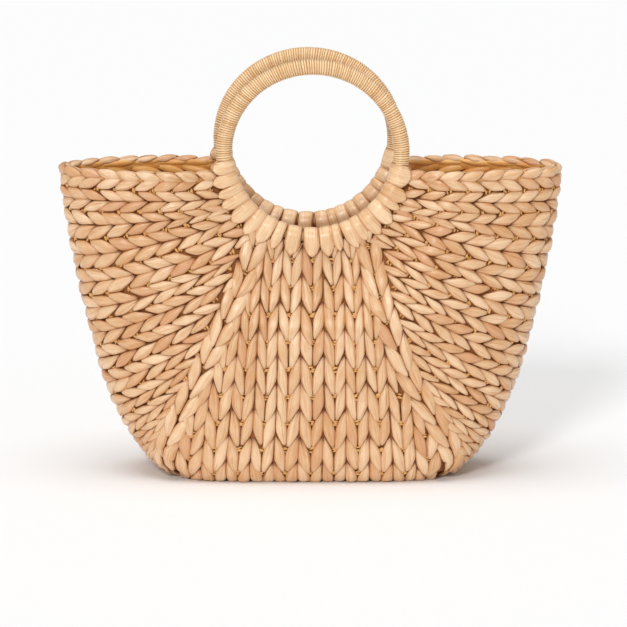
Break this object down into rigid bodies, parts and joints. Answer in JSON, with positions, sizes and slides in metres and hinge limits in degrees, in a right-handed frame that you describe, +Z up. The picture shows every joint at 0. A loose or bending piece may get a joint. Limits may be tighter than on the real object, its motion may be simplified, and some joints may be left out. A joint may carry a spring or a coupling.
{
  "type": "straw basket bag",
  "caption": "Open handbag twined from straw, wide at the mouth and narrow at its flat base, with walls that dip round hoop handles wound with cord and bound on by straw wraps.",
  "frame": {"origin": "on the floor, under the middle of the bag's length and depth", "axes": "+X along the bag to its right end, +Y from front to back, +Z up"},
  "size_m": [0.431, 0.1324, 0.3633],
  "materials": {
    "twined_straw": "dry satin straw, twined",
    "rim_straw": "dry satin straw, twined",
    "wrap_straw": "smooth satin straw",
    "cord": "glossy fine cord of cane",
    "rod": "plain cane"
  },
  "bodies": {
    "root": {"basket_body": "twined_straw", "rim_rope_left": "rim_straw", "rim_rope_right": "rim_straw", "hoop_front": "rod", "hoop_back": "rod", "winding_front": "cord", "winding_back": "cord", "wrap_front_01": "wrap_straw", "wrap_front_02": "wrap_straw", "wrap_front_03": "wrap_straw", "wrap_front_04": "wrap_straw", "wrap_front_05": "wrap_straw", "wrap_front_06": "wrap_straw", "wrap_front_07": "wrap_straw", "wrap_front_08": "wrap_straw", "wrap_front_09": "wrap_straw", "wrap_front_10": "wrap_straw", "wrap_front_11": "wrap_straw", "wrap_front_12": "wrap_straw", "wrap_front_13": "wrap_straw", "wrap_front_14": "wrap_straw", "wrap_front_15": "wrap_straw", "wrap_front_16": "wrap_straw", "wrap_front_17": "wrap_straw", "wrap_front_18": "wrap_straw", "wrap_front_19": "wrap_straw", "wrap_back_01": "wrap_straw", "wrap_back_02": "wrap_straw", "wrap_back_03": "wrap_straw", "wrap_back_04": "wrap_straw", "wrap_back_05": "wrap_straw", "wrap_back_06": "wrap_straw", "wrap_back_07": "wrap_straw", "wrap_back_08": "wrap_straw", "wrap_back_09": "wrap_straw", "wrap_back_10": "wrap_straw", "wrap_back_11": "wrap_straw", "wrap_back_12": "wrap_straw", "wrap_back_13": "wrap_straw", "wrap_back_14": "wrap_straw", "wrap_back_15": "wrap_straw", "wrap_back_16": "wrap_straw", "wrap_back_17": "wrap_straw", "wrap_back_18": "wrap_straw", "wrap_back_19": "wrap_straw"}
  },
  "joints": []
}
